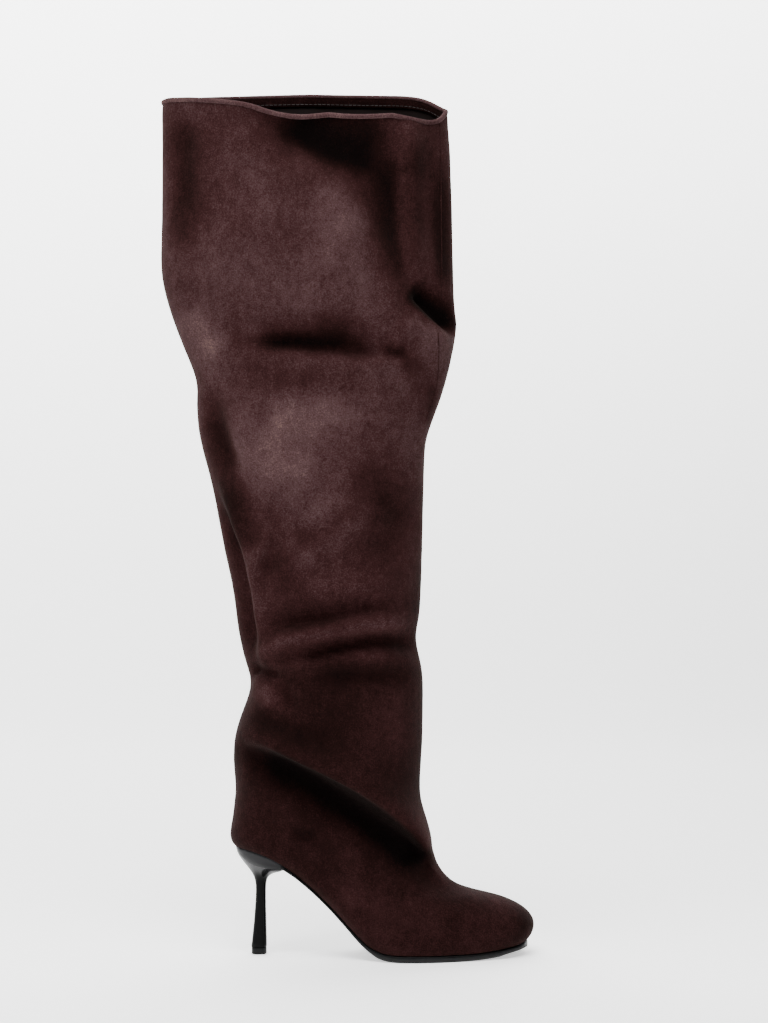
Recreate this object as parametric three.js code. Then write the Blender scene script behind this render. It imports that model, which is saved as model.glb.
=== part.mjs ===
// An over-the-knee slouch boot on a slim flared heel: the right boot, standing empty.
// Millimetres, +Z up, toe towards +X, inner side of the foot towards +Y.
// The origin is on the floor, in the middle of the heel's top piece.
import * as THREE from "three";

// Driving sizes of the last
const FOOT_LENGTH = 222; // back of the seat to the tip of the toe, along the floor
const SEAT_SETBACK = 18.5; // back of the seat behind the heel's axis
const SEAT_HEIGHT = 81.5; // floor to the back of the seat
const BALL_WIDTH = 75; // feather edge across the ball
const TOE_SPRING = 5;
const TOE_SWING = 5; // the toe leans this far towards the inner side
const INSTEP_RISE = 75; // sole up to the ankle fold

// Driving sizes of the shaft
const SHAFT_HEIGHT = 564; // back of the seat to the collar
const SHAFT_WIDTH = 214; // collar from back seam to front seam
const SHAFT_DEPTH = 76; // collar from outer to inner side
const SHAFT_CENTRE = 34.5; // middle of the collar ahead of the heel's axis
const FOLD_BOW = 14; // how far the ankle fold arches up between back and front
const COLLAR_DROP = 16; // how far the outer side of the collar sags
const COLLAR_LIFT = 11; // how far the inner side of the collar stands up
const COLLAR_REACH = 70; // the sag fades out this far below the collar

// Driving sizes of the bottom and the small pieces
const FOOT_WALL = 2.2;
const SHAFT_WALL = 1.6;
const OUTSOLE_THICKNESS = 4.6; // at the ball
const SHANK_THICKNESS = 2.8;
const OUTSOLE_LIP = 0.7; // how far the sole's edge stands out past the feather edge
const OUTSOLE_BEVEL = 1.3;
const INSOLE_THICKNESS = 3;
const HEEL_BREAST = 21.5; // front of the heel's seat ahead of its axis
const HEEL_BASE = 11.4; // side of the heel at its top piece
const HEEL_NECK = 6.8; // thinnest part of the stem, from the side
const TOP_PIECE_HEIGHT = 5.6;
const TOP_PIECE_EDGE = 0.6;
const FACING_HEIGHT = 9;
const FACING_THICKNESS = 0.9;
const FACING_SETBACK = 0.8; // top of the facing below the collar's edge
const GAP = 0.3; // between pieces that are glued face to face
const SEAM_GAP = 0.55; // between the curved feather edge and the bottom

// Mesh density
const BOOT_SIDE_STEPS = 24;
const HEEL_SIDE_STEPS = 14;
const RING_SPACING = 21;

// The sole's top line. at: share of FOOT_LENGTH; drop: share of the way down from the seat;
// spring: share of TOE_SPRING.
const SOLE_LINE = [
  { at: 0.0, drop: 0.0, spring: 0 },
  { at: 0.05, drop: 0.015, spring: 0 },
  { at: 0.1, drop: 0.055, spring: 0 },
  { at: 0.17, drop: 0.155, spring: 0 },
  { at: 0.22, drop: 0.262, spring: 0 },
  { at: 0.31, drop: 0.503, spring: 0 },
  { at: 0.4, drop: 0.777, spring: 0 },
  { at: 0.44, drop: 0.9, spring: 0 },
  { at: 0.48, drop: 0.97, spring: 0 },
  { at: 0.53, drop: 1.0, spring: 0 },
  { at: 0.78, drop: 1.0, spring: 0 },
  { at: 0.88, drop: 1.0, spring: 0.25 },
  { at: 0.95, drop: 1.0, spring: 0.62 },
  { at: 1.0, drop: 1.0, spring: 1 },
];

// The last from above. at: share of FOOT_LENGTH; outer, inner: feather edge from the middle line;
// swell: how much wider the side grows above it. All three are shares of half BALL_WIDTH.
const OUTLINE = [
  { at: 0.0, outer: 0.62, inner: 0.62, swell: 0.09 },
  { at: 0.12, outer: 0.66, inner: 0.65, swell: 0.09 },
  { at: 0.32, outer: 0.56, inner: 0.46, swell: 0.2 },
  { at: 0.46, outer: 0.8, inner: 0.64, swell: 0.12 },
  { at: 0.58, outer: 1.0, inner: 0.88, swell: 0.08 },
  { at: 0.67, outer: 0.99, inner: 0.99, swell: 0.08 },
  { at: 0.78, outer: 0.9, inner: 0.95, swell: 0.08 },
  { at: 0.9, outer: 0.79, inner: 0.8, swell: 0.08 },
  { at: 1.0, outer: 0.7, inner: 0.7, swell: 0.08 },
];
const HEEL_ROUND = 0.115; // length of the rounded heel end, share of FOOT_LENGTH
const ANKLE_HALF_WIDTH = 0.82; // share of half SHAFT_DEPTH

// The foot of the upper, feather edge to ankle fold. rise: share of INSTEP_RISE above the sole line;
// back, front: ends, share of FOOT_LENGTH; toe: length of the rounded front; square: its squareness.
const FOOT_RINGS = [
  { rise: 0.0, back: 0.0, front: 1.0, toe: 0.24, square: 2.6 },
  { rise: 0.03, back: -0.011, front: 1.009, toe: 0.24, square: 2.6 },
  { rise: 0.08, back: -0.017, front: 1.018, toe: 0.24, square: 2.6 },
  { rise: 0.14, back: -0.018, front: 1.019, toe: 0.24, square: 2.6 },
  { rise: 0.22, back: -0.013, front: 1.009, toe: 0.25, square: 2.5 },
  { rise: 0.3, back: -0.008, front: 0.986, toe: 0.28, square: 2.4 },
  { rise: 0.37, back: -0.005, front: 0.956, toe: 0.34, square: 2.3 },
  { rise: 0.435, back: -0.002, front: 0.919, toe: 0.4, square: 2.2 },
  { rise: 0.487, back: -0.001, front: 0.872, toe: 0.42, square: 2.1 },
  { rise: 0.53, back: 0.002, front: 0.822, toe: 0.42, square: 2.0 },
  { rise: 0.583, back: 0.002, front: 0.773, toe: 0.39, square: 2.0 },
  { rise: 0.643, back: 0.002, front: 0.741, toe: 0.35, square: 2.0 },
  { rise: 0.72, back: 0.0, front: 0.717, toe: 0.3, square: 2.0 },
  { rise: 0.8, back: -0.001, front: 0.698, toe: 0.26, square: 2.0 },
  { rise: 0.89, back: -0.002, front: 0.687, toe: 0.23, square: 2.0 },
];

// The shaft, ankle fold to collar. backRise, frontRise: share of SHAFT_HEIGHT above the seat;
// back, front: share of SHAFT_WIDTH from SHAFT_CENTRE; outer, inner: share of half SHAFT_DEPTH;
// round: length of the rounded ends, share of the section's own length; bow: share of FOLD_BOW.
const SHAFT_RINGS = [
  { backRise: 0.134, frontRise: 0.0, back: 0.247, front: 0.453, outer: 0.82, inner: 0.82, round: 0.3, bow: 1.0 },
  { backRise: 0.146, frontRise: 0.026, back: 0.243, front: 0.436, outer: 1.04, inner: 0.98, round: 0.32, bow: 1.0 },
  { backRise: 0.171, frontRise: 0.054, back: 0.226, front: 0.409, outer: 1.13, inner: 1.05, round: 0.35, bow: 0.9 },
  { backRise: 0.217, frontRise: 0.122, back: 0.182, front: 0.408, outer: 1.02, inner: 0.98, round: 0.38, bow: 0.55 },
  { backRise: 0.249, frontRise: 0.21, back: 0.206, front: 0.411, outer: 1.08, inner: 1.02, round: 0.38, bow: 0.2 },
  { backRise: 0.281, frontRise: 0.239, back: 0.226, front: 0.41, outer: 1.05, inner: 1.0, round: 0.38, bow: 0.0 },
  { backRise: 0.306, frontRise: 0.279, back: 0.236, front: 0.379, outer: 1.0, inner: 0.97, round: 0.38, bow: 0.0 },
  { backRise: 0.331, frontRise: 0.306, back: 0.242, front: 0.4, outer: 1.05, inner: 1.0, round: 0.38, bow: 0.0 },
  { backRise: 0.396, frontRise: 0.387, back: 0.278, front: 0.408, outer: 1.1, inner: 1.05, round: 0.4, bow: 0.0 },
  { backRise: 0.497, frontRise: 0.494, back: 0.331, front: 0.414, outer: 1.12, inner: 1.06, round: 0.4, bow: 0.0 },
  { backRise: 0.554, frontRise: 0.544, back: 0.371, front: 0.419, outer: 1.1, inner: 1.05, round: 0.4, bow: 0.0 },
  { backRise: 0.586, frontRise: 0.572, back: 0.378, front: 0.446, outer: 1.06, inner: 1.04, round: 0.4, bow: 0.0 },
  { backRise: 0.618, frontRise: 0.618, back: 0.376, front: 0.488, outer: 1.04, inner: 1.04, round: 0.42, bow: 0.0 },
  { backRise: 0.657, frontRise: 0.657, back: 0.411, front: 0.513, outer: 1.06, inner: 1.06, round: 0.42, bow: 0.0 },
  { backRise: 0.719, frontRise: 0.7, back: 0.474, front: 0.532, outer: 1.08, inner: 1.08, round: 0.42, bow: 0.0 },
  { backRise: 0.774, frontRise: 0.721, back: 0.507, front: 0.524, outer: 1.02, inner: 1.06, round: 0.42, bow: 0.0 },
  { backRise: 0.866, frontRise: 0.857, back: 0.502, front: 0.515, outer: 0.98, inner: 1.04, round: 0.42, bow: 0.0 },
  { backRise: 0.941, frontRise: 0.941, back: 0.501, front: 0.507, outer: 0.98, inner: 1.02, round: 0.43, bow: 0.0 },
  { backRise: 1.0, frontRise: 0.992, back: 0.502, front: 0.498, outer: 1.0, inner: 1.0, round: 0.44, bow: 0.0 },
];

// The collar's edge, back to front. drop: share of COLLAR_DROP; lift: share of COLLAR_LIFT.
const COLLAR_EDGE = [
  { along: 0.0, drop: 0.0, lift: 0.0 },
  { along: 0.1, drop: 0.24, lift: 0.5 },
  { along: 0.28, drop: 0.34, lift: 0.92 },
  { along: 0.44, drop: 0.93, lift: 1.0 },
  { along: 0.6, drop: 0.9, lift: 1.0 },
  { along: 0.85, drop: 0.95, lift: 0.95 },
  { along: 0.965, drop: 1.0, lift: 0.35 },
  { along: 1.0, drop: 0.1, lift: 0.0 },
];

// The heel, top piece to seat. backRise, frontRise: share of the way up from top piece to seat back;
// stem: share of HEEL_BASE less HEEL_NECK; seat: share of the way out to the seat's own ends; square: squareness.
const HEEL_RINGS = [
  { backRise: 0.0, frontRise: 0.0, stem: 1.0, seat: 0.0, square: 3.4 },
  { backRise: 0.08, frontRise: 0.08, stem: 0.78, seat: 0.0, square: 3.4 },
  { backRise: 0.24, frontRise: 0.24, stem: 0.42, seat: 0.0, square: 3.2 },
  { backRise: 0.45, frontRise: 0.45, stem: 0.1, seat: 0.0, square: 3.0 },
  { backRise: 0.575, frontRise: 0.575, stem: 0.0, seat: 0.0, square: 2.8 },
  { backRise: 0.65, frontRise: 0.655, stem: 0.0, seat: 0.03, square: 2.6 },
  { backRise: 0.716, frontRise: 0.705, stem: 0.0, seat: 0.13, square: 2.4 },
  { backRise: 0.787, frontRise: 0.742, stem: 0.0, seat: 0.36, square: 2.4 },
  { backRise: 0.868, frontRise: 0.768, stem: 0.0, seat: 0.68, square: 2.6 },
  { backRise: 0.948, frontRise: 0.788, stem: 0.0, seat: 0.93, square: 3.0 },
];

const mix = (a, b, share) => a + (b - a) * share;
const clamp = (value) => Math.min(1, Math.max(0, value));
const smooth = (share) => clamp(share) ** 2 * (3 - 2 * clamp(share));

// A smooth line through one column of a table, which never overshoots its rows.
function curve(rows, along, column) {
  const t = rows.map((row) => row[along]);
  const v = rows.map((row) => row[column]);
  const last = rows.length - 1;
  const slope = (i) => (v[i + 1] - v[i]) / (t[i + 1] - t[i]);
  const tangents = t.map((_, i) => {
    if (i === 0 || i === last) return slope(i === 0 ? 0 : last - 1);
    const [before, after] = [slope(i - 1), slope(i)];
    return before * after <= 0 ? 0 : (2 * before * after) / (before + after);
  });
  return (at) => {
    if (at <= t[0]) return v[0];
    if (at >= t[last]) return v[last];
    const i = t.findIndex((start, k) => at >= start && at < t[k + 1]);
    const step = t[i + 1] - t[i];
    const s = (at - t[i]) / step;
    const ease = s * s * (3 - 2 * s);
    const bend = s * (1 - s) * step * (tangents[i] * (1 - s) - tangents[i + 1] * s);
    return mix(v[i], v[i + 1], ease) + bend;
  };
}

// How full an outline is at a distance from its end, when the end is rounded over that length.
function roundedEnd(distance, length, square) {
  return (1 - (1 - clamp(distance / length)) ** square) ** (1 / square);
}

// The last's own lines, each a function of X
const share = (x) => (x + SEAT_SETBACK) / FOOT_LENGTH;
const station = (at) => at * FOOT_LENGTH - SEAT_SETBACK;
const dropLine = curve(SOLE_LINE, "at", "drop");
const springLine = curve(SOLE_LINE, "at", "spring");
const outerLine = curve(OUTLINE, "at", "outer");
const innerLine = curve(OUTLINE, "at", "inner");
const swellLine = curve(OUTLINE, "at", "swell");
const collarDrop = curve(COLLAR_EDGE, "along", "drop");
const collarLift = curve(COLLAR_EDGE, "along", "lift");
const soleTop = (x) =>
  mix(SEAT_HEIGHT, OUTSOLE_THICKNESS, dropLine(share(x))) + TOE_SPRING * springLine(share(x));
const soleThickness = (x) => mix(SHANK_THICKNESS, OUTSOLE_THICKNESS, smooth((dropLine(share(x)) - 0.6) / 0.4));
const swing = (x) => TOE_SWING * smooth((share(x) - 0.55) / 0.45);
const halfBall = BALL_WIDTH / 2;
const halfDepth = SHAFT_DEPTH / 2;
const featherOuter = (x) => halfBall * outerLine(share(x));
const featherInner = (x) => halfBall * innerLine(share(x));

// Stations from the front of a section to its back, closer together where the outline turns.
function spread(section, steps) {
  const samples = 240;
  const endWeight = 0.12 * (section.front - section.back);
  const path = [];
  for (let i = 0; i <= samples; i++) {
    const turn = (Math.PI * i) / samples;
    const x = mix(section.back, section.front, (1 + Math.cos(turn)) / 2);
    const y = (section.half(x, -1) + section.half(x, 1)) / 2;
    const before = path[i - 1];
    const step = before ? Math.hypot(x - before.x, y - before.y) + (endWeight * Math.PI) / samples : 0;
    path.push({ x, y, length: before ? before.length + step : 0 });
  }
  const total = path[samples].length;
  const stations = [section.front];
  for (let k = 1; k < steps; k++) {
    const target = (total * k) / steps;
    const i = path.findIndex((sample) => sample.length >= target);
    const s = (target - path[i - 1].length) / (path[i].length - path[i - 1].length);
    stations.push(mix(path[i - 1].x, path[i].x, s));
  }
  return [...stations, section.back];
}

// One closed loop of a section: front end, outer side, back end, inner side.
function loop(section, steps) {
  const stations = spread(section, steps);
  const place = (x, side) =>
    new THREE.Vector3(x, swing(x) * section.swings + side * section.half(x, side), section.height(x, side));
  const outer = stations.slice(1, -1).map((x) => place(x, -1));
  const inner = stations.slice(1, -1).map((x) => place(x, 1));
  return [place(section.front, 0), ...outer, place(section.back, 0), ...inner.reverse()];
}

// A section of the foot at one row of FOOT_RINGS
function footSection(row) {
  const rise = row.rise * INSTEP_RISE;
  const back = station(row.back);
  const front = station(row.front);
  const swellShare = 1 - (1 - clamp(row.rise / 0.14)) ** 2;
  const toAnkle = smooth(row.rise);
  const straightness = smooth((row.rise - 0.25) / 0.75);
  const line = (x) => mix(soleTop(back), soleTop(front), (x - back) / (front - back));
  return {
    back,
    front,
    swings: 1 - smooth((row.rise - 0.5) / 0.5),
    half: (x, side) => {
      const feather = side < 0 ? featherOuter(x) : featherInner(x);
      const last = feather + halfBall * swellLine(share(x)) * swellShare;
      const ends =
        roundedEnd(x - back, HEEL_ROUND * FOOT_LENGTH, 2) *
        roundedEnd(front - x, row.toe * FOOT_LENGTH, row.square);
      return side === 0 ? 0 : mix(last, halfDepth * ANKLE_HALF_WIDTH, toAnkle) * ends;
    },
    height: (x) => SEAM_GAP + rise + mix(soleTop(x), line(x), straightness),
  };
}

// A section of the shaft at one row of SHAFT_RINGS
function shaftSection(row) {
  const back = SHAFT_CENTRE - row.back * SHAFT_WIDTH;
  const front = SHAFT_CENTRE + row.front * SHAFT_WIDTH;
  const ends = row.round * (front - back);
  const backZ = SEAT_HEIGHT + row.backRise * SHAFT_HEIGHT;
  const frontZ = SEAT_HEIGHT + row.frontRise * SHAFT_HEIGHT;
  const nearCollar = smooth(1 - ((1 - row.backRise) * SHAFT_HEIGHT) / COLLAR_REACH);
  return {
    back,
    front,
    swings: 0,
    half: (x, side) => {
      const width = halfDepth * (side < 0 ? row.outer : row.inner);
      return side === 0 ? 0 : width * roundedEnd(x - back, ends, 2) * roundedEnd(front - x, ends, 2);
    },
    height: (x, side) => {
      const along = (x - back) / (front - back);
      const edge = side < 0 ? -COLLAR_DROP * collarDrop(along) : COLLAR_LIFT * collarLift(along);
      const bow = FOLD_BOW * row.bow * Math.sin(Math.PI * clamp(along));
      return mix(backZ, frontZ, along) + edge * nearCollar + bow;
    },
  };
}

// Rows between the rows of SHAFT_RINGS, so that no two sections are further apart than RING_SPACING.
function shaftRows() {
  const rows = SHAFT_RINGS.map((row) => ({ ...row, level: (row.backRise + row.frontRise) / 2 }));
  const columns = Object.keys(SHAFT_RINGS[0]);
  const lines = columns.map((column) => curve(rows, "level", column));
  const between = (a, b) => {
    const parts = Math.ceil(((b.level - a.level) * SHAFT_HEIGHT) / RING_SPACING);
    return Array.from({ length: parts }, (_, k) => {
      const level = mix(a.level, b.level, k / parts);
      return Object.fromEntries(columns.map((column, c) => [column, lines[c](level)]));
    });
  };
  return [...rows.slice(1).flatMap((row, i) => between(rows[i], row)), rows[rows.length - 1]];
}

// The same loops moved inwards, square to the surface, by each loop's own wall.
function offsetLoops(loops, walls) {
  const count = loops[0].length;
  return loops.map((points, k) =>
    points.map((point, i) => {
      const above = loops[Math.min(k + 1, loops.length - 1)][i];
      const below = loops[Math.max(k - 1, 0)][i];
      const up = above.clone().sub(below);
      const along = points[(i + 1) % count].clone().sub(points[(i + count - 1) % count]);
      const inwards = along.cross(up).normalize();
      return point.clone().addScaledVector(inwards, walls[k]);
    }),
  );
}

// Skins a stack of loops. A stack that isn't a ring is closed at both ends with rungs from side to side.
function skin(loops, ring) {
  const count = loops[0].length;
  const corners = [];
  const face = (...indices) => corners.push(...indices);
  const strips = ring ? loops.length : loops.length - 1;
  for (let k = 0; k < strips; k++) {
    const [low, high] = [k * count, ((k + 1) % loops.length) * count];
    for (let i = 0; i < count; i++) {
      const j = (i + 1) % count;
      face(low + i, high + j, low + j, low + i, high + i, high + j);
    }
  }
  const rungs = (start, flip) => {
    for (let i = 0; i + 1 < count - i; i++) {
      const [a, b] = [start + i, start + i + 1];
      const [c, d] = [start + count - i - 1, start + ((count - i) % count)];
      if (b !== c) face(...(flip ? [a, c, b] : [a, b, c]));
      if (i > 0) face(...(flip ? [a, d, c] : [a, c, d]));
    }
  };
  if (!ring) {
    rungs(0, false);
    rungs((loops.length - 1) * count, true);
  }
  const geometry = new THREE.BufferGeometry();
  const positions = loops.flat().flatMap((point) => point.toArray());
  geometry.setAttribute("position", new THREE.Float32BufferAttribute(positions, 3));
  geometry.setIndex(corners);
  geometry.computeVertexNormals();
  return geometry;
}

// The outside of the upper, its wall at each loop, and its inside.
function upperLoops() {
  const foot = FOOT_RINGS.map((row) => loop(footSection(row), BOOT_SIDE_STEPS));
  const shaft = shaftRows().map((row) => loop(shaftSection(row), BOOT_SIDE_STEPS));
  const outside = [...foot, ...shaft];
  const walls = outside.map((_, k) => mix(FOOT_WALL, SHAFT_WALL, smooth(k / foot.length - 0.5)));
  const inside = offsetLoops(outside, walls);
  inside[0].forEach((point) => {
    point.z = soleTop(point.x) + SEAM_GAP;
  });
  return { outside, inside };
}

// A narrow strip that lines the collar, just inside its edge.
function facing(inside) {
  const top = inside[inside.length - 1];
  const below = inside[inside.length - 2];
  const down = (depth) => top.map((point, i) => point.clone().lerp(below[i], depth / point.distanceTo(below[i])));
  const face = [down(FACING_SETBACK + FACING_HEIGHT), down(FACING_SETBACK)];
  const shell = offsetLoops(face, [GAP, GAP]);
  const core = offsetLoops(face, [GAP + FACING_THICKNESS, GAP + FACING_THICKNESS]);
  return skin([...shell, ...core.reverse()], true);
}

// The sock and board inside the foot, which the upper's wall surrounds.
function insole() {
  const margin = FOOT_WALL + 2 * GAP;
  const back = station(0) + margin;
  const front = station(1) - margin;
  const level = (rise) => ({
    back,
    front,
    swings: 1,
    half: (x, side) => {
      const feather = side < 0 ? featherOuter(x) : featherInner(x);
      const heelEnd = roundedEnd(x - back, HEEL_ROUND * FOOT_LENGTH, 2);
      const toeEnd = roundedEnd(front - x, FOOT_RINGS[0].toe * FOOT_LENGTH, FOOT_RINGS[0].square);
      return side === 0 ? 0 : (feather - margin) * heelEnd * toeEnd;
    },
    height: (x) => soleTop(x) + SEAM_GAP + rise,
  });
  return skin([loop(level(0), BOOT_SIDE_STEPS), loop(level(INSOLE_THICKNESS), BOOT_SIDE_STEPS)], false);
}

// The outsole: toe tip round both sides to a straight end at the heel's breast.
function outsole() {
  const tip = station(1);
  const end = HEEL_BREAST + GAP;
  const whole = { back: station(0), front: tip, half: (x, side) => featherAt(x, side) };
  const stations = spread(whole, BOOT_SIDE_STEPS).filter((x) => x > end + 2);
  const level = (out, height) => {
    const place = (x, side) => {
      const stretched = x + out * clamp((share(x) - 0.5) / 0.5);
      return new THREE.Vector3(stretched, swing(x) + side * (featherAt(x, side) + out), height(x));
    };
    const outer = [...stations.slice(1), end].map((x) => place(x, -1));
    const inner = [...stations.slice(1), end].map((x) => place(x, 1));
    return [place(tip, 0), ...outer, ...inner.reverse()];
  };
  const bottom = (x) => soleTop(x) - soleThickness(x);
  return skin(
    [
      level(OUTSOLE_LIP - OUTSOLE_BEVEL, bottom),
      level(OUTSOLE_LIP, (x) => mix(bottom(x), soleTop(x), 0.35)),
      level(OUTSOLE_LIP, (x) => mix(bottom(x), soleTop(x), 0.8)),
      level(OUTSOLE_LIP / 2, soleTop),
    ],
    false,
  );
}

// The feather edge from above, on one side
function featherAt(x, side) {
  const feather = side < 0 ? featherOuter(x) : featherInner(x);
  const heelEnd = roundedEnd(x - station(0), HEEL_ROUND * FOOT_LENGTH, 2);
  const toeEnd = roundedEnd(station(1) - x, FOOT_RINGS[0].toe * FOOT_LENGTH, FOOT_RINGS[0].square);
  return side === 0 ? 0 : feather * heelEnd * toeEnd;
}

// A level section of the stem: square with rounded corners, its front face almost upright.
function stemSection(stem, square, height) {
  const length = mix(HEEL_NECK, HEEL_BASE, stem);
  const front = mix(HEEL_NECK * 0.7, HEEL_BASE / 2, stem);
  const half = mix(HEEL_NECK * 0.62, HEEL_BASE / 2, stem);
  return {
    back: front - length,
    front,
    swings: 0,
    half: (x, side) => {
      const away = Math.abs(x - front + length / 2) / (length / 2);
      return Math.abs(side) * half * (1 - clamp(away) ** square) ** (1 / square);
    },
    height,
  };
}

// The moulded heel: flared stem, thin neck and the cup under the seat.
function heel() {
  const bottom = TOP_PIECE_HEIGHT + GAP;
  const seatBack = station(0) + GAP;
  const breastCorner = 6;
  const seatHalf = (x, side) => {
    const wall = Math.max(0, featherAt(x, side || 1) - GAP);
    return Math.abs(side) * wall * roundedEnd(HEEL_BREAST - x, breastCorner, 4);
  };
  const rows = HEEL_RINGS.map((row) => {
    const stem = stemSection(row.stem, row.square, null);
    const back = mix(stem.back, seatBack, row.seat);
    const front = mix(stem.front, HEEL_BREAST, row.seat);
    const backZ = mix(bottom, SEAT_HEIGHT, row.backRise);
    const frontZ = mix(bottom, SEAT_HEIGHT, row.frontRise);
    return {
      back,
      front,
      swings: 0,
      half: (x, side) => {
        const along = (x - back) / (front - back);
        const onStem = stem.half(mix(stem.back, stem.front, along), side);
        const onSeat = seatHalf(mix(seatBack, HEEL_BREAST, along), side);
        return mix(onStem, onSeat, row.seat);
      },
      height: (x) => mix(backZ, frontZ, (x - back) / (front - back)),
    };
  });
  const seat = { back: seatBack, front: HEEL_BREAST, swings: 0, half: seatHalf, height: soleTop };
  return skin([...rows, seat].map((section) => loop(section, HEEL_SIDE_STEPS)), false);
}

// The hard-wearing top piece under the heel.
function topPiece() {
  const level = (inset, z) => {
    const section = stemSection(1, HEEL_RINGS[0].square, () => z);
    const centre = (section.back + section.front) / 2;
    const shrink = 1 - (2 * inset) / HEEL_BASE;
    return loop(section, HEEL_SIDE_STEPS).map(
      (point) => new THREE.Vector3(centre + (point.x - centre) * shrink, point.y * shrink, z),
    );
  };
  return skin([level(TOP_PIECE_EDGE, 0), level(0, TOP_PIECE_EDGE), level(0, TOP_PIECE_HEIGHT)], false);
}

const suede = new THREE.MeshStandardMaterial({ color: 0x3b2524, roughness: 0.95, metalness: 0 });
const sock = new THREE.MeshStandardMaterial({ color: 0x1a1413, roughness: 0.9, metalness: 0 });
const soleRubber = new THREE.MeshStandardMaterial({ color: 0x0b0b0c, roughness: 0.55, metalness: 0 });
const heelPlastic = new THREE.MeshStandardMaterial({ color: 0x060607, roughness: 0.12, metalness: 0 });
const topPieceRubber = new THREE.MeshStandardMaterial({ color: 0x0d0f0f, roughness: 0.6, metalness: 0 });

const boot = new THREE.Group();
const add = (name, geometry, material) => {
  const mesh = new THREE.Mesh(geometry, material);
  mesh.name = name;
  boot.add(mesh);
};

const { outside, inside } = upperLoops();
add("upper", skin([...outside, ...[...inside].reverse()], true), suede);
add("collar_facing", facing(inside), suede);
add("insole", insole(), sock);
add("outsole", outsole(), soleRubber);
add("heel", heel(), heelPlastic);
add("top_piece", topPiece(), topPieceRubber);

export default boot;
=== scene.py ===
# An over-the-knee suede boot on a slim heel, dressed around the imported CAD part.
# Metres; +X towards the toe, +Y the inner side of the foot, +Z up.
import math

import bmesh
import bpy
import numpy as np
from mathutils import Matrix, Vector
from mathutils.bvhtree import BVHTree


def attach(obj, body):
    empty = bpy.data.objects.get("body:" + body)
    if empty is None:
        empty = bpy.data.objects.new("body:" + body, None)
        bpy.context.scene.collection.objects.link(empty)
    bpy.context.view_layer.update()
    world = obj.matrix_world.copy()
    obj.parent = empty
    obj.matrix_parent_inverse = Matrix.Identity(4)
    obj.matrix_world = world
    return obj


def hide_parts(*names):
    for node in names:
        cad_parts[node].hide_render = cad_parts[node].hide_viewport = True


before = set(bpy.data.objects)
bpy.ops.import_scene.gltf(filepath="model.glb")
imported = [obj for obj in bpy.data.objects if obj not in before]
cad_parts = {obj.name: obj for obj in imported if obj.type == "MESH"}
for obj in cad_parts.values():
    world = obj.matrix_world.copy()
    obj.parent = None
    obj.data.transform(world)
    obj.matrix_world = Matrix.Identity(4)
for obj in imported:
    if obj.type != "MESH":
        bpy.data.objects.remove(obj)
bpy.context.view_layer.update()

# Shapes are worked out in millimetres and written in metres
MM = 0.001
TO_MM = 1000
OUTER = -1  # the outer side of the foot, towards the camera, is at negative Y
INNER = 1


# Small tools


def linear(hex_colour):
    """An sRGB hex colour as linear red, green, blue and alpha."""
    channels = [int(hex_colour[i : i + 2], 16) / 255 for i in (1, 3, 5)]
    bent = [c / 12.92 if c <= 0.04045 else ((c + 0.055) / 1.055) ** 2.4 for c in channels]
    return (*bent, 1.0)


def add_node(tree, kind, settings=None, stops=(), **sockets):
    """Adds a shader node with its settings; stops are a colour ramp's positions and colours.

    A socket given as a node's output is linked, and anything else is its value.
    """
    node = tree.nodes.new(kind)
    for name, value in (settings or {}).items():
        setattr(node, name, value)
    for _ in stops[2:]:
        node.color_ramp.elements.new(0.5)
    for k, (position, hex_colour) in enumerate(stops):
        node.color_ramp.elements[k].position = position
        node.color_ramp.elements[k].color = linear(hex_colour)
    for name, value in sockets.items():
        key = int(name[1:]) if name[1:].isdigit() else name.replace("_", " ")
        if isinstance(value, bpy.types.NodeSocket):
            tree.links.new(value, node.inputs[key])
        else:
            node.inputs[key].default_value = value
    return node


def new_material(name):
    """An empty node material with its Principled shader and output."""
    material = bpy.data.materials.new(name)
    material.use_nodes = True
    tree = material.node_tree
    tree.nodes.clear()
    shader = add_node(tree, "ShaderNodeBsdfPrincipled")
    add_node(tree, "ShaderNodeOutputMaterial", Surface=shader.outputs[0])
    return material, tree, shader


def new_piece(name, mesh, material):
    """A finished piece on the boot's one body."""
    piece = bpy.data.objects.new(name, mesh)
    bpy.context.scene.collection.objects.link(piece)
    mesh.materials.clear()
    mesh.materials.append(material)
    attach(piece, "root")
    return piece


# Materials


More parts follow.
